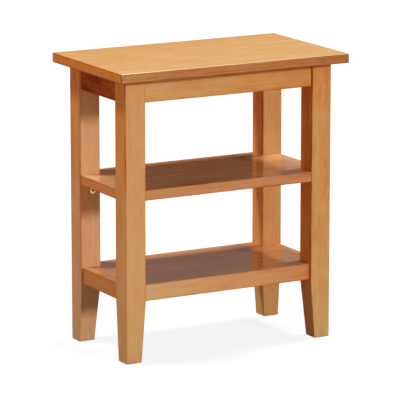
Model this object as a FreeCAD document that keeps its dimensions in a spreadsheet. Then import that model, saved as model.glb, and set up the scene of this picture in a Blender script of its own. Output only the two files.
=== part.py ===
# Side table with a middle and a lower shelf, in solid wood.
# X runs along its length, Y to the rear and Z up. The origin is on the floor, under the middle of the table.

import FreeCAD
import Part
import Sketcher
import math
import operator
import os
from collections import defaultdict
from types import SimpleNamespace

# Driving dimensions, in millimetres
SIZES = {
    # The whole table: its height, and the frame measured over the legs
    "table_height": 600.0,
    "frame_length": 477.0,
    "frame_depth": 244.0,
    # The top board
    "top_thickness": 20.0,
    "end_overhang": 24.5,
    "front_overhang": 30.5,
    "top_edge_radius": 2.0,
    # The legs, which taper below the lower shelf
    "leg_width": 45.0,
    "foot_width": 35.0,
    "taper_height": 123.0,
    "leg_edge_radius": 1.5,
    "foot_chamfer": 1.0,
    # The aprons under the top, set back from the outer faces of the legs
    "apron_height": 48.0,
    "apron_thickness": 18.0,
    "long_apron_inset": 4.0,
    "end_apron_inset": 3.0,
    "rail_edge_radius": 1.0,
    # The middle shelf, notched round the legs
    "middle_shelf_level": 354.0,
    "middle_shelf_thickness": 21.0,
    "middle_shelf_long_inset": 1.0,
    "middle_shelf_end_inset": 1.5,
    "shelf_edge_radius": 1.5,
    "notch_clearance": 0.3,
    # The lower shelf: four rails round a thinner panel
    "lower_shelf_level": 159.0,
    "lower_rail_height": 34.0,
    "lower_rail_thickness": 18.0,
    "lower_long_rail_inset": 6.0,
    "lower_end_rail_inset": 4.5,
    "panel_thickness": 15.0,
    "panel_clearance": 0.3,
    "panel_edge_radius": 0.5,
    # The dowels in the rail ends
    "dowel_diameter": 8.0,
    "dowel_length": 30.0,
    "dowel_chamfer": 1.0,
    "dowel_clearance": 0.2,
    "dowel_end_clearance": 0.5,
    # The cleats that hold the top and carry the lower panel
    "top_cleat_width": 18.0,
    "shelf_cleat_width": 15.0,
    "cleat_end_gap": 1.0,
    # The angle brackets under the middle shelf
    "bracket_width": 15.0,
    "bracket_reach": 19.0,
    "bracket_thickness": 2.0,
    "bracket_bend_radius": 1.5,
    "bracket_corner_radius": 7.0,
    "bracket_from_leg_side": 27.5,
    # The countersunk screws
    "cleat_screw_diameter": 4.0,
    "cleat_screw_head": 8.0,
    "top_cleat_screw_length": 30.0,
    "shelf_cleat_screw_length": 25.0,
    "bracket_screw_diameter": 3.5,
    "bracket_screw_head": 7.0,
    "bracket_screw_length": 16.0,
    "screw_point_length": 4.0,
    "screw_clearance": 0.2,
    "screw_end_clearance": 0.5,
    "recess_width": 1.1,
    "recess_span": 4.0,
    "recess_depth": 1.0,
}

# Where the screws sit along a cleat, as shares of its length from its middle
UPWARD_SCREW_SHARES = (-0.38, 0.0, 0.38)
SIDEWAYS_SCREW_SHARES = (-0.19, 0.19)

# Where the two dowels sit in a rail's end, as shares of its height
DOWEL_SHARES = (0.25, 0.75)

LEFT, RIGHT = -1, 1
FRONT, REAR = -1, 1
ENDS = {"left": LEFT, "right": RIGHT}
SIDES = {"front": FRONT, "rear": REAR}

# In this order each leg is a quarter turn on from the one before
LEG_NAMES = {
    (LEFT, FRONT): "front_left_leg",
    (RIGHT, FRONT): "front_right_leg",
    (RIGHT, REAR): "rear_right_leg",
    (LEFT, REAR): "rear_left_leg",
}


def turn_about(x, y, z, degrees):
    return FreeCAD.Rotation(FreeCAD.Vector(x, y, z), degrees)


# Turns that lay a piece along another axis, or point a screw's shank that way
NO_TURN = FreeCAD.Rotation()
X_TO_Y = turn_about(0, 0, 1, 90)
HALF_TURN = turn_about(0, 0, 1, 180)
Z_TO_X = turn_about(0, 1, 0, 90)
Z_TO_Y = turn_about(1, 0, 0, -90)
UPSIDE_DOWN = turn_about(1, 0, 0, 180)
POINT_TO_REAR = turn_about(1, 0, 0, 90)
POINT_TO_FRONT = turn_about(1, 0, 0, -90)

# The least share of an edge's direction that counts as running along an axis
ALONG_SHARE = 0.7

doc = FreeCAD.newDocument("SideTable")


def make_sheet():
    """The spreadsheet that holds each driving dimension in a cell of its own name."""
    sheet = doc.addObject("Spreadsheet::Sheet", "Sizes")
    for row, (name, number) in enumerate(SIZES.items(), start=1):
        sheet.set("A%d" % row, name)
        sheet.set("B%d" % row, str(number))
        sheet.setAlias("B%d" % row, name)
    doc.recompute()


class Size:
    """A length that is known both as a number and as a formula on the sheet's cells."""

    def __init__(self, number, formula):
        self.number = number
        self.formula = formula

    def __add__(self, other):
        return worked_out(self, "+", other)

    def __sub__(self, other):
        return worked_out(self, "-", other)

    def __rmul__(self, other):
        return worked_out(other, "*", self)

    def __truediv__(self, other):
        return worked_out(self, "/", other)

    def __neg__(self):
        return worked_out(-1, "*", self)


OPERATIONS = {"+": operator.add, "-": operator.sub, "*": operator.mul, "/": operator.truediv}


def as_size(value):
    return value if isinstance(value, Size) else Size(value, str(value))


def worked_out(left, sign, right):
    """The size that two others give, with its formula."""
    left, right = as_size(left), as_size(right)
    number = OPERATIONS[sign](left.number, right.number)
    return Size(number, "(%s %s %s)" % (left.formula, sign, right.formula))


def bind(thing, path, size):
    """Ties one property to the formula of a size."""
    thing.setExpression(path, as_size(size).formula)


def place(thing, x, y, z, turn=NO_TURN):
    """Puts a thing's origin at a point and turns it, and keeps the point tied to the sheet."""
    start = FreeCAD.Vector(*(as_size(value).number for value in (x, y, z)))
    thing.Placement = FreeCAD.Placement(start, turn)
    for axis, value in zip("xyz", (x, y, z)):
        bind(thing, "Placement.Base." + axis, value)


def origin_feature(body, role):
    return next(item for item in body.Origin.OriginFeatures if item.Role == role)


def new_sketch(body, name, role):
    """An empty sketch on one of the body's own origin planes."""
    sketch = body.newObject("Sketcher::SketchObject", name)
    sketch.AttachmentSupport = (origin_feature(body, role), [""])
    sketch.MapMode = "FlatFace"
    return sketch


def hold_point(sketch, line, axis, value):
    """Fixes the start of a line at a distance from the sketch's origin, along one of its axes."""
    value = as_size(value)
    if value.number == 0:
        across = {"X": -2, "Y": -1}[axis]
        sketch.addConstraint(Sketcher.Constraint("PointOnObject", line, 1, across))
        return
    if value.number > 0:
        rule = Sketcher.Constraint("Distance" + axis, -1, 1, line, 1, value.number)
        formula = value.formula
    else:
        rule = Sketcher.Constraint("Distance" + axis, line, 1, -1, 1, -value.number)
        formula = (-value).formula
    index = sketch.addConstraint(rule)
    sketch.setExpression("Constraints[%d]" % index, formula)


def outline_sketch(body, role, points):
    """A closed outline of straight lines through the points."""
    sketch = new_sketch(body, body.Name + "_outline", role)
    corners = [FreeCAD.Vector(as_size(x).number, as_size(y).number, 0) for x, y in points]
    following = corners[1:] + corners[:1]
    for start, end in zip(corners, following):
        sketch.addGeometry(Part.LineSegment(start, end))
    for line, (x, y) in enumerate(points):
        before = (line - 1) % len(points)
        sketch.addConstraint(Sketcher.Constraint("Coincident", before, 2, line, 1))
        hold_point(sketch, line, "X", x)
        hold_point(sketch, line, "Y", y)
    return sketch


def pad(body, sketch, length):
    feature = body.newObject("PartDesign::Pad", body.Name + "_pad")
    feature.Profile = sketch
    bind(feature, "Length", length)
    doc.recompute()


def turned(body, profile):
    """Turns a profile in the body's XZ plane once round its Z axis."""
    feature = body.newObject("PartDesign::Revolution", body.Name + "_turned")
    feature.Profile = outline_sketch(body, "XZ_Plane", profile)
    feature.ReferenceAxis = (origin_feature(body, "Z_Axis"), [""])
    doc.recompute()


def dress(body, kind, size_name, size, wanted):
    """Rounds or chamfers the edges of the body's last feature that pass a test."""
    base = body.Tip
    edges = ["Edge%d" % number for number, edge in enumerate(base.Shape.Edges, start=1) if wanted(edge)]
    feature = body.newObject("PartDesign::" + kind, body.Name + "_" + kind.lower())
    feature.Base = (base, edges)
    bind(feature, size_name, size)
    doc.recompute()


def round_edges(body, radius, wanted=lambda edge: True):
    dress(body, "Fillet", "Radius", radius, wanted)


def runs_along(edge, axis):
    """True for an edge that points along x, y or z, or nearly so."""
    return abs(getattr(edge.tangentAt(edge.FirstParameter), axis)) > ALONG_SHARE


def same(first, second):
    """True for two numbers that are equal but for rounding."""
    return math.isclose(first, second, rel_tol=1e-6, abs_tol=1e-6)


def cylinder(name, diameter, length, x, y, z, turn):
    """A round bar that starts at a point and runs along the turned Z axis."""
    bar = doc.addObject("Part::Cylinder", name)
    bind(bar, "Radius", diameter / 2)
    bind(bar, "Height", length)
    place(bar, x, y, z, turn)
    return bar


def copy_of(pattern, name, x, y, z, turn):
    """One more of a piece that is made once and used many times."""
    piece = doc.addObject("App::Link", name)
    piece.LinkedObject = pattern
    place(piece, x, y, z, turn)
    return piece


make_sheet()
s = SimpleNamespace(**{name: Size(number, "Sizes." + name) for name, number in SIZES.items()})

# Places that more than one piece shares
half_length = s.frame_length / 2
half_depth = s.frame_depth / 2
leg_height = s.table_height - s.top_thickness
long_span = s.frame_length - 2 * s.leg_width
end_span = s.frame_depth - 2 * s.leg_width
middle_shelf_underside = s.middle_shelf_level - s.middle_shelf_thickness
panel_underside = s.lower_shelf_level - s.panel_thickness

# Each piece as it is before drilling, what it is drilled with, and the dowels and screws by kind
blanks = {}
cutters = defaultdict(list)
fasteners = defaultdict(list)


# Legs. A square post with rounded edges, whose two inner faces taper from under the lower shelf.
def rounded_square_sketch(body, name, width, radius, level):
    """A square with rounded corners and one corner at the body's origin, at a level of its own."""
    sketch = new_sketch(body, name, "XY_Plane")
    bind(sketch, "AttachmentOffset.Base.z", level)
    far, near = width.number, radius.number
    inner = far - near
    starts = [(near, 0), (far, near), (inner, far), (0, inner)]
    ends = [(inner, 0), (far, inner), (near, far), (0, near)]
    for start, end in zip(starts, ends):
        sketch.addGeometry(Part.LineSegment(FreeCAD.Vector(*start, 0), FreeCAD.Vector(*end, 0)))
    for quarter, centre in enumerate([(inner, near), (inner, inner), (near, inner), (near, near)]):
        circle = Part.Circle(FreeCAD.Vector(*centre, 0), FreeCAD.Vector(0, 0, 1), near)
        first = math.pi / 2 * (quarter - 1)
        sketch.addGeometry(Part.ArcOfCircle(circle, first, first + math.pi / 2))
    for side in range(4):
        arc = side + 4
        sketch.addConstraint(Sketcher.Constraint("Tangent", side, 2, arc, 1))
        sketch.addConstraint(Sketcher.Constraint("Tangent", arc, 2, (side + 1) % 4, 1))
        sketch.addConstraint(Sketcher.Constraint(("Horizontal", "Vertical")[side % 2], side))
    for arc in (5, 6, 7):
        sketch.addConstraint(Sketcher.Constraint("Equal", 4, arc))
    index = sketch.addConstraint(Sketcher.Constraint("Radius", 4, near))
    sketch.setExpression("Constraints[%d]" % index, radius.formula)
    hold_point(sketch, 0, "Y", 0)
    hold_point(sketch, 3, "X", 0)
    hold_point(sketch, 1, "X", width)
    hold_point(sketch, 2, "Y", width)
    return sketch


def leg_blank(name):
    """A leg with its outer corner at the body's origin."""
    body = doc.addObject("PartDesign::Body", name + "_blank")
    foot = rounded_square_sketch(body, name + "_foot", s.foot_width, s.leg_edge_radius, 0)
    post = rounded_square_sketch(body, name + "_post", s.leg_width, s.leg_edge_radius, s.taper_height)
    pad(body, post, leg_height - s.taper_height)
    taper = body.newObject("PartDesign::AdditiveLoft", name + "_taper")
    taper.Profile = foot
    taper.Sections = [post]
    taper.Ruled = True
    doc.recompute()
    dress(body, "Chamfer", "Size", s.foot_chamfer, lambda edge: same(edge.BoundBox.ZMax, 0))
    return body


for quarter_turns, ((end, side), name) in enumerate(LEG_NAMES.items()):
    blanks[name] = leg_blank(name)
    place(blanks[name], end * half_length, side * half_depth, 0, turn_about(0, 0, 1, 90 * quarter_turns))


# Dowels. A round peg that starts at its own origin, with both ends chamfered.
def dowel_pattern():
    body = doc.addObject("PartDesign::Body", "dowel_pattern")
    radius, length, chamfer = s.dowel_diameter / 2, s.dowel_length, s.dowel_chamfer
    lower_end = [(0, 0), (radius - chamfer, 0), (radius, chamfer)]
    upper_end = [(radius, length - chamfer), (radius - chamfer, length), (0, length)]
    turned(body, lower_end + upper_end)
    return body


dowel_body = dowel_pattern()
dowel_hole_length = s.dowel_length + 2 * s.dowel_end_clearance


# Rails. A bar with eased long edges that runs from leg to leg, as an apron or at the lower shelf.
def rail_blank(label, length, height, thickness):
    """A rail that starts at the body's origin and runs along its X axis."""
    body = doc.addObject("PartDesign::Body", label + "_blank")
    half = thickness / 2
    section = [(-half, 0), (half, 0), (half, height), (-half, height)]
    pad(body, outline_sketch(body, "YZ_Plane", section), length)
    round_edges(body, s.rail_edge_radius, lambda edge: runs_along(edge, "x"))
    return body


def rail(label, lengthwise, side, inset, height, thickness, bottom, dowel_label):
    """A rail along the table's length, or across its depth, with two dowels in each end."""
    span, reach = (long_span, half_depth) if lengthwise else (end_span, half_length)
    middle = side * (reach - inset - thickness / 2)

    def spot(along):
        """The place on the rail's middle line that is this far along it from its middle."""
        return (along, middle) if lengthwise else (middle, along)

    blanks[label] = rail_blank(label, span, height, thickness)
    place(blanks[label], *spot(-span / 2), bottom, NO_TURN if lengthwise else X_TO_Y)
    turn = Z_TO_X if lengthwise else Z_TO_Y
    for end in (-1, 1):
        leg = LEG_NAMES[(end, side) if lengthwise else (side, end)]
        shoulder = end * span / 2
        for share in DOWEL_SHARES:
            level = bottom + share * height
            name = "%s_dowel_%d" % (label, len(cutters[label]) + 1)
            dowel = copy_of(dowel_body, name, *spot(shoulder - s.dowel_length / 2), level, turn)
            hole_start = spot(shoulder - dowel_hole_length / 2)
            bore = s.dowel_diameter + s.dowel_clearance
            hole = cylinder(name + "_hole", bore, dowel_hole_length, *hole_start, level, turn)
            fasteners[dowel_label].append(dowel)
            cutters[label].append(hole)
            cutters[leg].append(hole)


def rail_frame(names, insets, height, thickness, top_level, dowel_label):
    """Four rails of one section: front, rear, left and right."""
    bottom = top_level - height
    for word, side in SIDES.items():
        rail(names % word, True, side, insets[0], height, thickness, bottom, dowel_label)
    for word, end in ENDS.items():
        rail(names % word, False, end, insets[1], height, thickness, bottom, dowel_label)


rail_frame(
    "%s_apron",
    (s.long_apron_inset, s.end_apron_inset),
    s.apron_height,
    s.apron_thickness,
    leg_height,
    "apron_dowels",
)
rail_frame(
    "lower_%s_rail",
    (s.lower_long_rail_inset, s.lower_end_rail_inset),
    s.lower_rail_height,
    s.lower_rail_thickness,
    s.lower_shelf_level,
    "lower_rail_dowels",
)


# Boards. The two shelves have their corners notched round the legs, and the top covers them.
def notched_board(label, half_x, half_y, thickness, radius):
    body = doc.addObject("PartDesign::Body", label + "_blank")
    notch_x = half_length - s.leg_width - s.notch_clearance
    notch_y = half_depth - s.leg_width - s.notch_clearance
    quarter = [(notch_x, half_y), (notch_x, notch_y), (half_x, notch_y)]
    points = list(quarter)
    points += [(x, -y) for x, y in reversed(quarter)]
    points += [(-x, -y) for x, y in quarter]
    points += [(-x, y) for x, y in reversed(quarter)]
    pad(body, outline_sketch(body, "XY_Plane", points), thickness)

    def is_rim(edge):
        """True for a level edge on the board's own outer faces, not in a notch."""
        middle = edge.CenterOfMass
        on_rim = same(abs(middle.x), half_x.number) or same(abs(middle.y), half_y.number)
        return on_rim and not runs_along(edge, "z")

    round_edges(body, radius, is_rim)
    return body


blanks["middle_shelf"] = notched_board(
    "middle_shelf",
    half_length - s.middle_shelf_end_inset,
    half_depth - s.middle_shelf_long_inset,
    s.middle_shelf_thickness,
    s.shelf_edge_radius,
)
place(blanks["middle_shelf"], 0, 0, middle_shelf_underside)

blanks["lower_shelf_panel"] = notched_board(
    "lower_shelf_panel",
    half_length - s.lower_end_rail_inset - s.lower_rail_thickness - s.panel_clearance,
    half_depth - s.lower_long_rail_inset - s.lower_rail_thickness - s.panel_clearance,
    s.panel_thickness,
    s.panel_edge_radius,
)
place(blanks["lower_shelf_panel"], 0, 0, panel_underside)


def top_board():
    """The top, with all its edges rounded."""
    body = doc.addObject("PartDesign::Body", "table_top_blank")
    x = half_length + s.end_overhang
    y = half_depth + s.front_overhang
    pad(body, outline_sketch(body, "XY_Plane", [(-x, -y), (x, -y), (x, y), (-x, y)]), s.top_thickness)
    round_edges(body, s.top_edge_radius)
    return body


blanks["table_top"] = top_board()
place(blanks["table_top"], 0, 0, leg_height)


# Screws. A countersunk head at its own origin, with a cross recess, then a plain shank down to a point.
def screw_pattern(name, diameter, head, length):
    body = doc.addObject("PartDesign::Body", name)
    neck = (head - diameter) / 2
    shank_end = length - s.screw_point_length
    turned(body, [(0, 0), (head / 2, 0), (diameter / 2, -neck), (diameter / 2, -shank_end), (0, -length)])
    for wide, high in ((s.recess_span, s.recess_width), (s.recess_width, s.recess_span)):
        x, y = wide / 2, high / 2
        slot = body.newObject("PartDesign::Pocket", name + "_slot")
        slot.Profile = outline_sketch(body, "XY_Plane", [(-x, -y), (x, -y), (x, y), (-x, y)])
        bind(slot, "Length", s.recess_depth)
        doc.recompute()
    return SimpleNamespace(body=body, diameter=diameter, head=head, length=length)


top_cleat_screw = screw_pattern(
    "top_cleat_screw", s.cleat_screw_diameter, s.cleat_screw_head, s.top_cleat_screw_length
)
shelf_cleat_screw = screw_pattern(
    "shelf_cleat_screw", s.cleat_screw_diameter, s.cleat_screw_head, s.shelf_cleat_screw_length
)
bracket_screw = screw_pattern(
    "bracket_screw", s.bracket_screw_diameter, s.bracket_screw_head, s.bracket_screw_length
)


def drive_screw(label, pattern, through, into, x, y, z, turn):
    """A screw with its head at a point, countersunk in one piece and screwed into another."""
    name = "%s_%s_%d" % (through, label, len(fasteners[label]) + 1)
    fasteners[label].append(copy_of(pattern.body, name, x, y, z, turn))
    down = turn * UPSIDE_DOWN
    bore = pattern.diameter + s.screw_clearance
    sink = pattern.head + s.screw_clearance
    hole = cylinder(name + "_hole", bore, pattern.length + s.screw_end_clearance, x, y, z, down)
    countersink = doc.addObject("Part::Cone", name + "_countersink")
    bind(countersink, "Radius1", sink / 2)
    bind(countersink, "Radius2", bore / 2)
    bind(countersink, "Height", (sink - bore) / 2)
    place(countersink, x, y, z, down)
    cutters[through] += [hole, countersink]
    cutters[into].append(hole)


# Cleats. Each lies along a long rail's inner face, under the board that it is screwed to.
def cleat(
    label, side, width, rail_inner_face, top_level, pattern, board, board_screws, rail_name, rail_screws
):
    """A square batten, with screws up into the board and sideways into the rail."""
    length = long_span - 2 * s.cleat_end_gap
    middle = side * (rail_inner_face - width / 2)
    underside = top_level - width
    blanks[label] = doc.addObject("Part::Box", label + "_blank")
    bind(blanks[label], "Length", length)
    bind(blanks[label], "Width", width)
    bind(blanks[label], "Height", width)
    place(blanks[label], -length / 2, middle - width / 2, underside)
    for share in UPWARD_SCREW_SHARES:
        drive_screw(board_screws, pattern, label, board, share * length, middle, underside, UPSIDE_DOWN)
    inner_face = middle - side * width / 2
    level = top_level - width / 2
    turn = POINT_TO_REAR if side == REAR else POINT_TO_FRONT
    for share in SIDEWAYS_SCREW_SHARES:
        drive_screw(rail_screws, pattern, label, rail_name, share * length, inner_face, level, turn)


for word, side in SIDES.items():
    cleat(
        word + "_top_cleat", side, s.top_cleat_width, half_depth - s.long_apron_inset - s.apron_thickness,
        leg_height, top_cleat_screw, "table_top", "top_screws", word + "_apron", "apron_screws",
    )
    cleat(
        word + "_shelf_cleat", side, s.shelf_cleat_width,
        half_depth - s.lower_long_rail_inset - s.lower_rail_thickness, panel_underside, shelf_cleat_screw,
        "lower_shelf_panel", "panel_screws", "lower_%s_rail" % word, "rail_screws",
    )


# Angle brackets. One flange lies on a leg's inner face and the other under the middle shelf.
def bracket_blank(label):
    """Bent sheet with its bend along the body's X axis, and round corners at the free ends."""
    body = doc.addObject("PartDesign::Body", label + "_blank")
    reach, sheet = s.bracket_reach, s.bracket_thickness
    profile = [(0, 0), (reach, 0), (reach, -sheet), (sheet, -sheet), (sheet, -reach), (0, -reach)]
    pad(body, outline_sketch(body, "YZ_Plane", profile), s.bracket_width)

    def is_free_corner(edge):
        """True for the short edges through the sheet at the flanges' free ends."""
        middle = edge.CenterOfMass
        under_shelf = runs_along(edge, "z") and same(middle.y, reach.number)
        on_leg = runs_along(edge, "y") and same(middle.z, -reach.number)
        return under_shelf or on_leg

    def is_inner_bend(edge):
        middle = edge.CenterOfMass
        return runs_along(edge, "x") and same(middle.y, sheet.number) and same(middle.z, -sheet.number)

    def is_outer_bend(edge):
        middle = edge.CenterOfMass
        return runs_along(edge, "x") and same(middle.y, 0) and same(middle.z, 0)

    round_edges(body, s.bracket_corner_radius, is_free_corner)
    round_edges(body, s.bracket_bend_radius, is_inner_bend)
    round_edges(body, s.bracket_bend_radius + sheet, is_outer_bend)
    return body


for (end, side), leg in LEG_NAMES.items():
    label = leg.replace("_leg", "_bracket")
    middle = end * (half_length - s.bracket_from_leg_side)
    leg_face = side * (half_depth - s.leg_width)
    screw_from_bend = s.bracket_reach - s.bracket_width / 2
    blanks[label] = bracket_blank(label)
    start = middle + side * s.bracket_width / 2
    place(blanks[label], start, leg_face, middle_shelf_underside, HALF_TURN if side == REAR else NO_TURN)
    drive_screw(
        "bracket_leg_screws",
        bracket_screw,
        label,
        leg,
        middle,
        leg_face - side * s.bracket_thickness,
        middle_shelf_underside - screw_from_bend,
        POINT_TO_REAR if side == REAR else POINT_TO_FRONT,
    )
    drive_screw(
        "bracket_shelf_screws",
        bracket_screw,
        label,
        "middle_shelf",
        middle,
        leg_face - side * screw_from_bend,
        middle_shelf_underside - s.bracket_thickness,
        UPSIDE_DOWN,
    )


# The finished pieces
def drilled(label, blank, holes):
    """A piece with every hole cut in its blank."""
    bits = doc.addObject("Part::MultiFuse", label + "_holes")
    bits.Shapes = holes
    piece = doc.addObject("Part::Cut", label)
    piece.Base = blank
    piece.Tool = bits
    piece.Label = label
    return piece


def grouped(label, solids):
    """Separate solids of one kind that share a name."""
    group = doc.addObject("Part::Compound", label)
    group.Links = solids
    group.Label = label
    return group


pieces = [drilled(label, blank, cutters[label]) for label, blank in blanks.items()]
pieces += [grouped(label, solids) for label, solids in fasteners.items()]
doc.recompute()

for thing in doc.Objects:
    if {"Invalid", "Error"} & set(thing.State):
        raise RuntimeError("%s failed: %s" % (thing.Label, thing.State))
for piece in pieces:
    if piece.Shape.isNull() or not piece.Shape.isValid():
        raise RuntimeError("%s has no valid shape" % piece.Label)

os.makedirs("parts", exist_ok=True)
for piece in pieces:
    piece.Shape.exportStep("parts/%s.step" % piece.Label)
    print("%-24s %3d solids %12.1f mm3" % (piece.Label, len(piece.Shape.Solids), piece.Shape.Volume))
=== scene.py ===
# %% [markdown]
# # A side table in honey-coloured wood
# The table is a small one: a top, four tapered legs, two frames of rails and two
# shelves, all in the same stained and lacquered wood. Its pieces already have their
# true shapes and places, so this lesson is about everything else that makes them look
# real: how wood is coloured inside, what the stain does along the edges, how a clear
# lacquer mirrors at a low angle, and how soft lamps let all of that show.

# %% Load the table
import math

import bpy
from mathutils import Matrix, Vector


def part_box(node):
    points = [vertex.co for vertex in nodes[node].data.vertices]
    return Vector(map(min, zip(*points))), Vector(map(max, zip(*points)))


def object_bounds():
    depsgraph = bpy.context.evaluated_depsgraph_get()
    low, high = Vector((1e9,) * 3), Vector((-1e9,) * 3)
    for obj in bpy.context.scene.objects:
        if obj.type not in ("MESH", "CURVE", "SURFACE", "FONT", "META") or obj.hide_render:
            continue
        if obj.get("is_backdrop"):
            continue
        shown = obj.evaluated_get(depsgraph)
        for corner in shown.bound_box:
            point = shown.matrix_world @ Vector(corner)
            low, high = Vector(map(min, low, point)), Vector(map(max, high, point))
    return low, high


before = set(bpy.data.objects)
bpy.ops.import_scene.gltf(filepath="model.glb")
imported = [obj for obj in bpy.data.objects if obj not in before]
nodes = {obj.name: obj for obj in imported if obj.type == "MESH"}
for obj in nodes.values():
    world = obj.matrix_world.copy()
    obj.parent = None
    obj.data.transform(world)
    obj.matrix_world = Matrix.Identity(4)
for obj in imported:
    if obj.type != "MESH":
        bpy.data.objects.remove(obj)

construction_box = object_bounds()
size = construction_box[1] - construction_box[0]
print(f"{len(nodes)} pieces, {size.x:.3f} x {size.y:.3f} x {size.z:.3f} m")

# %% [markdown]
# ## The camera
# A long lens far away keeps the legs nearly parallel, as in a catalogue picture. The
# camera stands to the left of the front, a little above the top, and looks down at the
# middle of the table. Its place is worked out from two angles and a distance, because
# those three numbers are easier to think in than coordinates.

# %% Camera
CAMERA_AZIMUTH = math.radians(29.03)
CAMERA_PITCH = math.radians(12.10)
CAMERA_DISTANCE = 6.476
CAMERA_LENS = 282.1
CAMERA_TARGET = Vector((-0.0015, 0.0, 0.2924))


def direction(azimuth, elevation):
    """The direction from the table to something at that azimuth and elevation."""
    level = math.cos(elevation)
    return Vector((-math.sin(azimuth) * level, -math.cos(azimuth) * level, math.sin(elevation)))


def look_at(thing, place, target):
    """Puts a camera or a lamp somewhere and turns it towards the target."""
    thing.location = place
    thing.rotation_euler = (target - place).to_track_quat("-Z", "Y").to_euler()


camera_data = bpy.data.cameras.new("camera")
camera_data.lens = CAMERA_LENS
camera_data.clip_end = 100.0
camera = bpy.data.objects.new("camera", camera_data)
bpy.context.scene.collection.objects.link(camera)
bpy.context.scene.camera = camera
look_at(camera, CAMERA_TARGET + direction(CAMERA_AZIMUTH, CAMERA_PITCH) * CAMERA_DISTANCE, CAMERA_TARGET)
print(f"camera at {camera.location.x:.2f}, {camera.location.y:.2f}, {camera.location.z:.2f} m")

# %% [markdown]
# ## A way to write shader maths
# A material is a tree of nodes, and most of them are sums. Wrapping a socket in a
# small class lets those sums be written as plain arithmetic: an expression such as
# `1 - mask * 0.5` then adds its Math nodes by itself. Every other node comes from one
# method, which sets the node's own settings first and then its sockets. Two more
# helpers start an empty material and put it on a piece in place of its plain finish.

# %% Shader arithmetic
FIRST_COLOUR, SECOND_COLOUR, MIXED_COLOUR = 6, 7, 2


class Shade:
    """A number, colour or vector on its way through a material's nodes."""

    def __init__(self, tree, socket=None):
        self.tree = tree
        self.socket = socket

    def node(self, kind, settings=None, inputs=None, output=0):
        """Adds a node of this kind and returns one of its outputs."""
        made = self.tree.nodes.new(kind)
        for name, value in (settings or {}).items():
            if name == "stops":
                set_stops(made.color_ramp, value)
            else:
                setattr(made, name, value)
        for name, value in (inputs or {}).items():
            if isinstance(value, Shade):
                self.tree.links.new(value.socket, made.inputs[name])
            else:
                made.inputs[name].default_value = value
        return Shade(self.tree, made.outputs[output]) if len(made.outputs) else None

    def math(self, operation, *values):
        """Adds a Math node that works on these values."""
        return self.node("ShaderNodeMath", {"operation": operation}, dict(enumerate(values)))

    def __add__(self, other):
        return self.math("ADD", self, other)

    __radd__ = __add__

    def __sub__(self, other):
        return self.math("SUBTRACT", self, other)

    def __rsub__(self, other):
        return self.math("SUBTRACT", other, self)

    def __mul__(self, other):
        return self.math("MULTIPLY", self, other)

    def __truediv__(self, other):
        return self.math("DIVIDE", self, other)

    def __pow__(self, other):
        return self.math("POWER", self, other)

    def __abs__(self):
        return self.math("ABSOLUTE", self)

    def least(self, other):
        return self.math("MINIMUM", self, other)

    def most(self, other):
        return self.math("MAXIMUM", self, other)

    def fraction(self):
        return self.math("FRACT", self)

    def between(self, low, high):
        """0 below low, 1 above high, and a smooth step in between; low may be the larger."""
        settings = {"interpolation_type": "SMOOTHSTEP"}
        inputs = {"Value": self, "From Min": low, "From Max": high}
        return self.node("ShaderNodeMapRange", settings, inputs)

    def blend(self, first, second):
        """Goes from one colour to the other as this value goes from 0 to 1."""
        inputs = {0: self, FIRST_COLOUR: first, SECOND_COLOUR: second}
        return self.node("ShaderNodeMix", {"data_type": "RGBA"}, inputs, MIXED_COLOUR)

    def vector(self, operation, other):
        """Adds a Vector Math node that works on this vector or colour and another."""
        return self.node("ShaderNodeVectorMath", {"operation": operation}, {0: self, 1: other})

    def parts(self):
        """The X, Y and Z of this vector, each as a number."""
        split = self.node("ShaderNodeSeparateXYZ", inputs={"Vector": self}).socket.node
        return {axis: Shade(self.tree, split.outputs[axis]) for axis in "XYZ"}


def set_stops(ramp, stops):
    """Gives a colour ramp these stops: a list of a position and a colour each."""
    while len(ramp.elements) < len(stops):
        ramp.elements.new(1.0)
    for element, (position, colour) in zip(ramp.elements, stops):
        element.position = position
        element.color = colour


def paint(red, green, blue):
    """A colour as it reads on a screen, 0 to 255 each, turned into light."""
    def light(value):
        share = value / 255
        return share / 12.92 if share <= 0.04045 else ((share + 0.055) / 1.055) ** 2.4

    return (light(red), light(green), light(blue), 1.0)


def grey(value):
    return (value, value, value, 1.0)


print("mid grey on a screen is", round(paint(128, 128, 128)[0], 3), "of white in light")

# %% New materials
def new_material(name):
    """An empty material, and a start in its tree from which nodes are added."""
    material = bpy.data.materials.new(name)
    material.use_nodes = True
    material.node_tree.nodes.clear()
    return material, Shade(material.node_tree)


def dress(node_name, material):
    """Gives a piece this material and no other."""
    slots = nodes[node_name].data.materials
    slots.clear()
    slots.append(material)


plain = {material.name for node in nodes.values() for material in node.data.materials}
print("the pieces come in", len(plain), "plain finishes:", ", ".join(sorted(plain)))

# %% [markdown]
# ## Wood, from the inside
# A board is cut out of a trunk, so its pattern is solid: it runs through the piece and
# comes out on every face. Here each piece looks up a point in its own trunk. One
# coordinate runs along the grain and two across it. Growth rings are circles round the
# pith, which lies well outside the board, so they show as nearly straight lines on the
# long faces and as arcs on the sawn ends. Clouds, streaks, fibres and pores are noise
# pulled out along the grain, each so many features a metre. Because all of them are
# solid patterns, the end grain comes out right without any work of its own.

# %% Wood coordinates
ACROSS = {"x": ("X", "Y", "Z"), "y": ("Y", "X", "Z"), "z": ("Z", "X", "Y")}


def trunk_point(start, node_name, along, shift):
    """A point's place in its trunk, with the grain along the first axis, and its place on the piece."""
    low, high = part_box(node_name)
    centre = (Vector(low) + Vector(high)) / 2
    here = start.node("ShaderNodeTexCoord", output="Object")
    parts = start.node("ShaderNodeMapping", inputs={"Vector": here, "Location": -centre}).parts()
    turned = {axis: parts[name] for axis, name in zip("XYZ", ACROSS[along])}
    grain = start.node("ShaderNodeCombineXYZ", inputs=turned)
    return grain.vector("ADD", shift), parts


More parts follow.
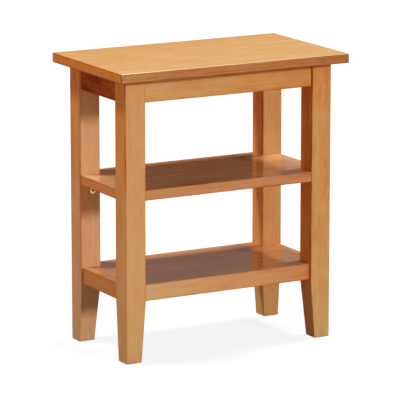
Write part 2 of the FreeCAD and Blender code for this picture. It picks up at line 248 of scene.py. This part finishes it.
def stretched_noise(grain, along, across, detail=2.0, roughness=0.5):
    """Noise with so many features a metre along the grain and across it."""
    pulled = grain.vector("MULTIPLY", (along, across, across))
    inputs = {"Vector": pulled, "Scale": 1.0, "Detail": detail, "Roughness": roughness}
    return grain.node("ShaderNodeTexNoise", inputs=inputs, output="Fac")


print("grain axes:", ", ".join(f"{a} from {b}" for a, b in ACROSS.items()))

# %% Rings, streaks and pores
RING_WIDTH = 0.0058
RING_WANDER = 0.03
WANDER_SCALES = (2.2, 9.0)
LATE_SHARE = 0.4
MARKS = {
    "broad": (3.0, 26.0),
    "cloud": (11.0, 42.0, 3.0),
    "spot": (36.0, 100.0),
    "streak": (9.0, 230.0, 3.0, 0.6),
    "fibre": (60.0, 1900.0),
}
PORES = (130.0, 2600.0, 1.0)


def late_wood(grain, pith):
    """The dense dark wood that ends each growth ring, as a mark round 0."""
    place = grain.parts()
    radius = ((place["Y"] - pith[0]) ** 2 + (place["Z"] - pith[1]) ** 2) ** 0.5
    wander = stretched_noise(grain, *WANDER_SCALES) - 0.5
    ring = ((radius + wander * RING_WANDER) / RING_WIDTH).fraction()
    return ring.between(0.1, 0.9) * (1 - ring.between(0.9, 1.0)) - LATE_SHARE


def grain_marks(grain, pith):
    """Each kind of mark in the wood as a number round 0, and the pores from 0 to 1."""
    marks = {name: stretched_noise(grain, *scales) - 0.5 for name, scales in MARKS.items()}
    marks["late"] = late_wood(grain, pith)
    marks["pore"] = stretched_noise(grain, *PORES).between(0.66, 0.74)
    return marks


def mixed(marks, weights):
    """Adds these marks up, each with its own weight."""
    return sum(marks[name] * weight for name, weight in weights.items())


print(f"rings {RING_WIDTH * 1000:.1f} mm wide, pores about {1000 / PORES[1]:.1f} mm")

# %% [markdown]
# ## The stained wood
# The stain is a warm honey colour. Where little of it sank in, the wood stays light
# and yellow, and where much did, it turns orange and then red-brown, so one ramp from
# shallow to deep gives all the colours. The depth at a point is a sum: what the face
# takes, since a face cut across the rings drinks more than one cut along them, a slow
# drift from one end of the board to the other, and the rings, streaks and clouds of
# that board. What the face takes is partly painted shade as well, because the sides of
# some boards are made deeper for the shade they stand in. Along every arris the stain
# has gathered in a thin deeper line. The lower arrises are a little deeper still, which
# is painted shade under the boards, and a pale painted highlight lies along the upper
# front arrises instead. All of it lies under a clear lacquer, which levelled best on
# the faces that lay flat while it dried, so those mirror what stands on them. The
# undersides got hardly any of it.

# %% Colour by stain depth
STAIN_DEPTHS = [
    (0.00, paint(233, 196, 142)),
    (0.25, paint(226, 175, 114)),
    (0.50, paint(221, 154, 91)),
    (0.72, paint(217, 127, 51)),
    (0.88, paint(190, 90, 30)),
    (1.00, paint(146, 52, 14)),
]
PORE = paint(140, 76, 36)
# The pale colour of the painted highlight along the upper front arrises.
ARRIS_HIGHLIGHT_COLOUR = paint(250, 238, 212)
print(len(STAIN_DEPTHS), "colours from shallow to deep stain")

# %% Faces and arrises
LINE_FULL = 0.0012
LINE_GONE = 0.0034


def facings(start):
    """How squarely the surface looks along each axis, three shares that add up to 1, and down."""
    normal = start.node("ShaderNodeTexCoord", output="Normal")
    facing = normal.vector("MULTIPLY", normal).parts()
    facing["down"] = normal.parts()["Z"].between(-0.2, -0.9)
    return facing


def edges(parts, node_name, along, jointed):
    """1 at the arrises of a box-shaped piece, going down to 0 a few millimetres inside.

    The nearest arris is as far away as the middle one of the three distances from the
    faces. The ends of a jointed piece are hidden, so only its long arrises count.
    """
    low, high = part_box(node_name)
    half = (Vector(high) - Vector(low)) / 2
    inside = {axis: half[i] - abs(parts[axis]) for i, axis in enumerate("XYZ")}
    first, second, third = (inside[axis] for axis in ACROSS[along])
    nearest = second.most(third)
    if not jointed:
        nearest = second.least(third).most(nearest.least(first))
    return nearest.between(LINE_GONE, LINE_FULL)


def long_arrises(parts, facing):
    """The rounded arrises along a board: the upper front one, and the lower ones.

    Each is 1 where the surface looks halfway between upright and level.
    """
    rounded = facing["Y"] * facing["Z"] * 4.0
    upper = parts["Z"].between(0.0, 0.005)
    front = rounded * parts["Y"].between(0.0, -0.01) * upper
    return front, rounded * (1 - upper)


print(f"the deeper line along an arris is {LINE_GONE * 1000:.1f} mm wide")

# %% Under the lacquer
RELIEF = {"fibre": 0.35, "pore": -0.6, "streak": 0.3}
RELIEF_HEIGHT = 0.0003
RELIEF_STRENGTH = 0.25
DULL = 0.5
DULLER = {"streak": 0.2, "pore": 0.12}


def lacquered(start, colour, marks, weight, haze):
    """Dull wood with its fibres in relief, under a clear coat of this weight and haze."""
    relief = {"Height": mixed(marks, RELIEF), "Strength": RELIEF_STRENGTH, "Distance": RELIEF_HEIGHT}
    surface = {
        "Base Color": colour,
        "Roughness": mixed(marks, DULLER) + DULL,
        "Specular IOR Level": 0.0,
        "Coat Weight": weight,
        "Coat Roughness": haze,
        "Coat IOR": 1.5,
        "Normal": start.node("ShaderNodeBump", inputs=relief),
    }
    return start.node("ShaderNodeBsdfPrincipled", inputs=surface)


print(f"the fibres stand {RELIEF_HEIGHT * 1000:.1f} mm proud at most")

# %% One board of stained wood
EVEN = (0.0, 0.0, 0.0)
FULL = (1.0, 1.0, 1.0)
WHITE = (1.0, 1.0, 1.0)
LIVELY = (0.7, 0.7, 0.7)
CLOUDED = (0.25, 0.3, 0.25)
SATIN = (0.12, 0.3, 0.3)
FULL_GLOSS = (0.12, 0.6, 1.0)
LINES = {"late": 0.06, "broad": 0.4, "streak": 0.8}
CLOUDS = {"cloud": 1.0, "spot": 0.7}
# How much deeper the lower arrises are, as painted shade.
LOW_ARRIS_SHADE = 0.05
PORE_SHADE = 0.3
FIBRE_SHADE = 0.16
BARE_UNDERSIDE = 0.85
SEED_STEP = 1.37
boards = []


def stained_wood(node_name, along, seed, depth, drift=EVEN, pith=(0.09, -0.21), figure=LIVELY,
                 mottle=CLOUDED, gloss=SATIN, haze=0.36, tint=WHITE, tone_and_shade=FULL, arris_highlight=0.0,
                 arris=0.22, jointed=False, painted_end_light=0.0, rear_deeper=0.0):
    """Gives one piece its own board.

    Three numbers each, for the X, Y and Z faces, say how deep the stain is, partly as
    painted shade on shaded sides, how much deeper it gets along the board (drift), how
    strong the rings and streaks are (figure) and the clouds (mottle), how glossy the
    lacquer is, and how bright the face is (tone_and_shade), which is partly the wood's
    own tone and partly painted light and shade.
    Pith is where the middle of the trunk lies across the grain, in metres, and haze how
    blurred the lacquer mirrors. Arris is how much deeper the stain is along the arrises,
    and arris_highlight how strong a pale painted highlight is along the upper front one.
    The ends of a shelf get painted light from painted_end_light.
    """
    material, start = new_material(node_name + "_wood")
    grain, parts = trunk_point(start, node_name, along, (seed * SEED_STEP, 0.0, 0.0))
    marks = grain_marks(grain, pith)
    facing = facings(start)
    front_arris, shaded_low_arris = long_arrises(parts, facing)

    def by_face(shares):
        """A number of its own on the X, Y and Z faces."""
        return facing["X"] * shares[0] + facing["Y"] * shares[1] + facing["Z"] * shares[2]

    low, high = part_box(node_name)
    extent = dict(zip("XYZ", Vector(high) - Vector(low)))
    share = parts[along.upper()] / extent[along.upper()]
    # Painted light: the shelf's ends are paler and brighter on top, where the lamps reach in under the
    # top.
    ends = (share * share * 4.0) ** 2 * facing["Z"] * painted_end_light
    rear = parts["Y"] / extent["Y"] * facing["Z"]
    sunk = by_face(depth) + share * by_face(drift) - ends + rear * rear_deeper
    sunk = sunk + mixed(marks, LINES) * by_face(figure) + mixed(marks, CLOUDS) * by_face(mottle)
    sunk = sunk + edges(parts, node_name, along, jointed) * arris
    # Painted shade deepens the lower arrises, and the upper front one goes pale as a painted highlight.
    sunk = sunk + shaded_low_arris * LOW_ARRIS_SHADE - front_arris * arris_highlight

    colour = start.node("ShaderNodeValToRGB", {"stops": STAIN_DEPTHS}, {"Fac": sunk})
    colour = (marks["pore"] * PORE_SHADE).blend(colour, PORE)
    # Painted highlight: the upper front arris turns pale.
    colour = (front_arris * arris_highlight).blend(colour, ARRIS_HIGHLIGHT_COLOUR)
    # Brightness for each kind of face: partly the board's own tone, partly painted light and shade for
    # how the lamps fall on it.
    level = (1.0 + marks["fibre"] * FIBRE_SHADE + ends) * by_face(tone_and_shade)
    toned = dict(zip("XYZ", (level * part for part in tint)))
    colour = colour.vector("MULTIPLY", start.node("ShaderNodeCombineXYZ", inputs=toned))
    coated = by_face(gloss) * (1 - shaded_low_arris) * (1 - facing["down"] * BARE_UNDERSIDE)
    board = lacquered(start, colour, marks, coated + front_arris * arris_highlight, haze)
    start.node("ShaderNodeOutputMaterial", inputs={"Surface": board})
    dress(node_name, material)
    boards.append(node_name)


print(f"each seed starts {SEED_STEP:.2f} m further up a trunk, so no two boards share a pattern")

# %% [markdown]
# ## Choosing the boards
# A maker lays the boards out before gluing and chooses which goes where. The same is
# done here: each piece gets its grain direction, how deep the stain is on its X, Y and
# Z faces, and how that drifts along its length. A brightness for each kind of face makes
# it lighter or darker as a whole, partly as the board's own tone and partly as painted
# light and shade for how the lamps fall on it. A tint shifts the hue of one board, and
# on the lower shelf and the rear left leg it also paints a sheen. The top is the palest
# board, a little deeper towards the rear, and its planed front edge is much redder. The
# two shelves are deeper, and the middle one gets painted light at its ends, where the
# lamps reach in. The sides of the end aprons and of the legs took the most stain, and
# part of that is painted shade; the left apron's is deepest, as painted shade under the
# top. For the boards along the depth, a table gives the stain on their sides and how
# bright those are, which is painted shade. For the legs, another gives the stain on the
# sides and on the front and rear, and then how both drift from foot to top.

# %% Boards along the length
stained_wood("table_top", "x", 1, (0.7, 0.67, 0.25), (0.0, 0.24, 0.0), pith=(0.03, -0.36),
             figure=(0.4, 1.1, 0.5), mottle=(0.12, 0.3, 0.42), gloss=(0.08, 0.7, 0.6), haze=0.12,
             tint=(1.02, 1.0, 0.92), tone_and_shade=(0.92, 0.77, 0.85), arris_highlight=0.32, rear_deeper=0.12)
stained_wood("middle_shelf", "x", 2, (0.66, 0.54, 0.53), (0.0, 0.14, -0.15), pith=(-0.05, -0.30),
             figure=(0.3, 0.7, 1.3), mottle=(0.1, 0.3, 0.3), gloss=FULL_GLOSS, haze=0.06,
             tint=(1.03, 1.01, 1.07), tone_and_shade=(0.95, 0.88, 0.95), arris_highlight=0.22, painted_end_light=0.26)
# The panel's grey-blue tint paints a reflection of the dim room that its top mirrors.
stained_wood("lower_shelf_panel", "x", 3, (0.6, 0.5, 0.57), pith=(0.08, -0.27),
             gloss=FULL_GLOSS, haze=0.05, tint=(0.83, 0.86, 0.98), arris=0.0)
for name, seed, drift in (("front_apron", 4.24, 0.24), ("rear_apron", 3.9, -0.1)):
    stained_wood(name, "x", seed, (0.6, 0.45, 0.4), (0.0, drift, 0.0), pith=(-0.2, 0.02),
                 tint=(1.0, 1.03, 0.95), tone_and_shade=(1.0, 0.98, 1.0), jointed=True)
for name, seed, drift in (("lower_front_rail", 6.28, 0.36), ("lower_rear_rail", 5.88, -0.12)):
    stained_wood(name, "x", seed, (0.6, 0.41, 0.54), (0.0, drift, 0.0), pith=(-0.18, -0.03),
                 gloss=(0.1, 0.6, 0.9), haze=0.1, tone_and_shade=(1.0, 1.0, 0.95), arris_highlight=0.3, jointed=True)
print(len(boards), "boards run along the length")

# %% Boards along the depth
# The sides' stain and their brightness are partly painted shade, and the left apron's deep stain is
# painted shade under the top.
END_BOARDS = {
    "left_apron": (0.93, 0.92),
    "right_apron": (0.8, 0.95),
    "lower_left_rail": (0.6, 0.94),
    "lower_right_rail": (0.6, 0.94),
}
for number, (name, (side, bright)) in enumerate(END_BOARDS.items()):
    stained_wood(name, "y", number + 10, (side, 0.5, 0.5), pith=(0.17, 0.05 - 0.03 * number),
                 figure=(0.4, 0.5, 0.5), gloss=(0.03, 0.6, 0.8), haze=0.1, tone_and_shade=(bright, 1.0, 0.9),
                 arris=0.14, jointed=True)
print(len(END_BOARDS), "boards run along the depth")

# %% Legs
# The legs' sides are stained deeper than their fronts, partly as painted shade.
LEGS = {
    "front_left": (0.54, 0.31, 0.4, 0.02),
    "front_right": (0.68, 0.43, 0.24, 0.24),
    "rear_right": (0.56, 0.41, 0.5, -0.1),
    "rear_left": (0.54, 0.32, 0.44, 0.0),
}
# The rear left leg's bluer, paler tint paints a sheen on its front.
LEG_TINT_AND_SHEEN = {"rear_left": (1.0, 1.05, 1.34), "front_right": (0.99, 1.01, 0.97)}
# Painted light: the right legs' sides are brightened.
LEG_TONE_AND_SHADE = {"rear_right": (1.3, 0.95, 1.0), "front_right": (1.12, 1.0, 1.0)}
LEG_MOTTLE = {"front_right": (0.25, 0.5, 0.25)}
for number, (corner, (side, front, side_drift, front_drift)) in enumerate(LEGS.items()):
    stained_wood(corner + "_leg", "z", number + 20, (side, front, 0.6), (side_drift, front_drift, 0.0),
                 pith=(0.12, 0.16 - 0.05 * number), figure=(0.6, 0.5, 0.5),
                 mottle=LEG_MOTTLE.get(corner, CLOUDED), tint=LEG_TINT_AND_SHEEN.get(corner, WHITE),
                 tone_and_shade=LEG_TONE_AND_SHADE.get(corner, FULL))
print(len(LEGS), "legs, which makes", len(boards), "stained boards in all")

# %% [markdown]
# ## The battens and dowels
# What is hidden is left as it came from the saw: the battens that hold the boards and
# the dowels in the joints are pale beech without stain, with its short dark flecks.

# %% Plain wood
FLECK = paint(140, 96, 60)


def plain_wood(node_name, light, dark, along):
    """Gives a hidden piece its bare wood."""
    material, start = new_material(node_name + "_wood")
    grain, parts = trunk_point(start, node_name, along, (0.0, 0.0, 0.0))
    streak = stretched_noise(grain, 12.0, 380.0, detail=3.0, roughness=0.6)
    fleck = stretched_noise(grain, 300.0, 1500.0, detail=0.0).between(0.62, 0.72)
    colour = streak.between(0.3, 0.7).blend(light, dark)
    colour = (fleck * 0.4).blend(colour, FLECK)
    bump = start.node("ShaderNodeBump", inputs={"Height": streak, "Strength": 0.3, "Distance": 0.0003})
    surface = {
        "Base Color": colour,
        "Roughness": 0.6 + (streak - 0.5) * 0.2,
        "Specular IOR Level": 0.25,
        "Normal": bump,
    }
    bare = start.node("ShaderNodeBsdfPrincipled", inputs=surface)
    start.node("ShaderNodeOutputMaterial", inputs={"Surface": bare})
    dress(node_name, material)


BATTENS = ("front_top_cleat", "rear_top_cleat", "front_shelf_cleat", "rear_shelf_cleat")
DOWELS = ("apron_dowels", "lower_rail_dowels")
for node_name in BATTENS:
    plain_wood(node_name, paint(222, 187, 138), paint(200, 158, 106), "x")
for node_name in DOWELS:
    plain_wood(node_name, paint(224, 186, 142), paint(206, 164, 118), "x")
print(len(BATTENS), "battens and", len(DOWELS), "groups of dowels in plain wood")

# %% [markdown]
# ## Brass and steel
# The small angle plates are brass, pale and rubbed, with fine scratches in all
# directions from the drum they were polished in. Their screws are a darker brass, and
# the hidden screws through the battens are steel.

# %% Metals
def metal(name, node_names, colour, dull, rough):
    """One metal for several pieces: a worn tint and fine scratches over a base colour."""
    material, start = new_material(name)
    here = start.node("ShaderNodeTexCoord", output="Object")
    cloud = stretched_noise(here, 260.0, 260.0, detail=3.0)
    scratch = stretched_noise(here, 2400.0, 2400.0)
    bump = start.node("ShaderNodeBump", inputs={"Height": scratch, "Strength": 0.2, "Distance": 0.00005})
    surface = {
        "Base Color": cloud.between(0.35, 0.7).blend(colour, dull),
        "Roughness": rough + (cloud - 0.5) * 0.2,
        "Metallic": 1.0,
        "Normal": bump,
    }
    worn = start.node("ShaderNodeBsdfPrincipled", inputs=surface)
    start.node("ShaderNodeOutputMaterial", inputs={"Surface": worn})
    for node_name in node_names:
        dress(node_name, material)


BRACKETS = [corner + "_bracket" for corner in LEGS]
metal("pale_brass", BRACKETS, paint(214, 186, 128), paint(170, 138, 84), 0.32)
BRASS_SCREWS = ["bracket_leg_screws", "bracket_shelf_screws"]
metal("screw_brass", BRASS_SCREWS, paint(112, 90, 58), paint(84, 64, 40), 0.42)
STEEL_SCREWS = ["top_screws", "apron_screws", "panel_screws", "rail_screws"]
metal("screw_steel", STEEL_SCREWS, paint(190, 190, 186), paint(150, 150, 148), 0.34)
print(len(BRACKETS) + len(BRASS_SCREWS) + len(STEEL_SCREWS), "metal pieces")

# %% [markdown]
# ## The floor
# A seamless white floor reaches far behind the table and curves up at its rim, so that
# a level view ends in white as well. What the lens and a shiny surface see of it is
# white by its own colour, and no lamp has to be turned up for it. The rest of the
# light meets a darker, warm floor, so it doesn't glare up under the shelves, and what
# does come back up fills the shadows with the colour of wood. To a lens below it, the
# floor is clear, so that the underside of the table can be looked at.

# %% Floor
FLOOR_RADIUS = 26.0
RIM_STEPS = 8
RIM_RADIUS = 3.2
RIM_CORNERS = 96

bpy.ops.object.select_all(action="DESELECT")
bpy.ops.mesh.primitive_circle_add(vertices=RIM_CORNERS, radius=FLOOR_RADIUS, fill_type="NGON")
floor = bpy.context.object
floor.name = "floor"
bpy.ops.object.mode_set(mode="EDIT")
bpy.ops.mesh.select_mode(type="EDGE")
bpy.ops.mesh.select_all(action="SELECT")
reach, height = FLOOR_RADIUS, 0.0
for step in range(1, RIM_STEPS + 1):
    turn = math.radians(90) * step / RIM_STEPS
    next_reach = FLOOR_RADIUS + RIM_RADIUS * math.sin(turn)
    next_height = RIM_RADIUS * (1 - math.cos(turn))
    bpy.ops.mesh.extrude_edges_move(TRANSFORM_OT_translate={"value": (0, 0, next_height - height)})
    bpy.ops.transform.resize(value=(next_reach / reach, next_reach / reach, 1))
    reach, height = next_reach, next_height
bpy.ops.object.mode_set(mode="OBJECT")
bpy.ops.object.shade_smooth()
floor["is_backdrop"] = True
print(f"floor with {len(floor.data.polygons)} faces, rim {height:.1f} m high")

# %% Floor material
WARM_GREY = (0.25, 0.185, 0.135, 1.0)
SHADOW_SHARE = 0.16
GLOW = 0.86

material, start = new_material("floor_white")
WHITE_RAYS = ("Is Camera Ray", "Is Glossy Ray", "Is Transmission Ray")
rays = {name: start.node("ShaderNodeLightPath", output=name) for name in WHITE_RAYS}
seen = rays["Is Camera Ray"].most(rays["Is Glossy Ray"]).most(rays["Is Transmission Ray"])
warm_floor = start.node("ShaderNodeBsdfDiffuse", inputs={"Color": WARM_GREY})
faint = start.node("ShaderNodeBsdfDiffuse", inputs={"Color": grey(SHADOW_SHARE)})
glow = start.node("ShaderNodeEmission", inputs={"Color": grey(1.0), "Strength": GLOW})
white_floor = start.node("ShaderNodeAddShader", inputs={0: faint, 1: glow})
lit = start.node("ShaderNodeMixShader", inputs={0: seen, 1: warm_floor, 2: white_floor})
below = start.node("ShaderNodeNewGeometry", output="Backfacing") * rays["Is Camera Ray"]
clear = start.node("ShaderNodeBsdfTransparent")
shown = start.node("ShaderNodeMixShader", inputs={0: below, 1: lit, 2: clear})
start.node("ShaderNodeOutputMaterial", inputs={"Surface": shown})
floor.data.materials.append(material)
print(f"the shadow takes at most {SHADOW_SHARE:.0%} of the floor's white")

# %% [markdown]
# ## The light
# Two soft lamps hang high at the left and the right of the table, a little behind it,
# and reach in under the top only at the two ends of each shelf. A third stands lower, to
# the right of the front. It is small enough for the top and the shelves to cast a clear
# shade on the legs behind them. Two wide and weak ones open the shadows, and a narrow
# one far down at the left draws the dark band along the rear right leg.

# %% Lamps
def lamp(name, azimuth, elevation, share, spread):
    """A far soft lamp: share is how bright it makes a white card that faces it.

    Spread is how many degrees of the sky it fills.
    """
    data = bpy.data.lights.new(name, "SUN")
    data.energy = share * math.pi
    data.angle = math.radians(spread)
    thing = bpy.data.objects.new(name, data)
    bpy.context.scene.collection.objects.link(thing)
    toward = direction(math.radians(azimuth), math.radians(elevation))
    look_at(thing, toward * 4.0, Vector((0, 0, 0)))
    return thing


LAMPS = [
    lamp("left_lamp", 122, 67, 0.62, 7),
    lamp("right_lamp", -97, 65.5, 0.67, 8),
    lamp("front_lamp", -20, 17.3, 0.47, 8),
    lamp("front_fill", 0, 8, 0.15, 80),
    lamp("left_fill", 76, 8, 0.18, 60),
    lamp("low_left_lamp", 92.3, 5, 0.33, 2.4),
]
for thing in LAMPS:
    print(f"{thing.name}: {thing.data.energy:.2f}, spread {math.degrees(thing.data.angle):.1f} degrees")

# %% [markdown]
# ## The room
# Lacquer shows whatever stands round the table, so the room matters as much as the
# lamps. Near the horizon it is dim, so that the shelves mirror the legs and not the
# room, and a paler band runs round it a little higher. Only behind the table at the
# right hangs a lit panel, which shows in the right end of the middle shelf. The room
# is worked out from the direction of a ray: how steeply it rises, and for the panel
# how far it leans aside for its way to the rear.

# %% Room
DIM, WALLS, BAND, PANEL = 0.03, 0.08, 0.23, 0.27
ROOM = [
    (0.0, grey(WALLS)),
    (0.206, grey(DIM)),
    (0.226, grey(BAND)),
    (0.3, grey(BAND)),
    (0.36, grey(WALLS)),
]
PANEL_SIDES = [(0.5765, 0.584), (1.1, 0.9)]
PANEL_RISE = [(0.18, 0.19), (0.2022, 0.1998)]

world = bpy.data.worlds.new("room")
world.use_nodes = True
world.node_tree.nodes.clear()
bpy.context.scene.world = world
start = Shade(world.node_tree)
ray = start.node("ShaderNodeTexCoord", output="Generated").parts()
panel = ray["Y"].between(0.0, 0.1)
for reading, borders in ((ray["X"] / ray["Y"], PANEL_SIDES), (ray["Z"], PANEL_RISE)):
    for outside, inside in borders:
        panel = panel * reading.between(outside, inside)
plain_room = start.node("ShaderNodeValToRGB", {"stops": ROOM}, {"Fac": ray["Z"]})
background = {"Color": panel.blend(plain_room, grey(PANEL)), "Strength": 1.0}
room = start.node("ShaderNodeBackground", inputs=background)
start.node("ShaderNodeOutputWorld", inputs={"Surface": room})
bpy.context.scene.view_settings.view_transform = "Standard"
print(f"the room gives {DIM:.2f} of white where it is dimmest and {PANEL:.2f} at the lit panel")

# %% [markdown]
# ## Check the size and finish
# The dressed table has to keep the size of the table that was built, so its box is
# measured again and the largest distance between matching corners is printed.

# %% Finish
visual_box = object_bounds()
grown = max((corner - other).length for corner, other in zip(construction_box, visual_box))
print(f"the dressed table differs from the built one by {grown * 1000:.3f} mm")
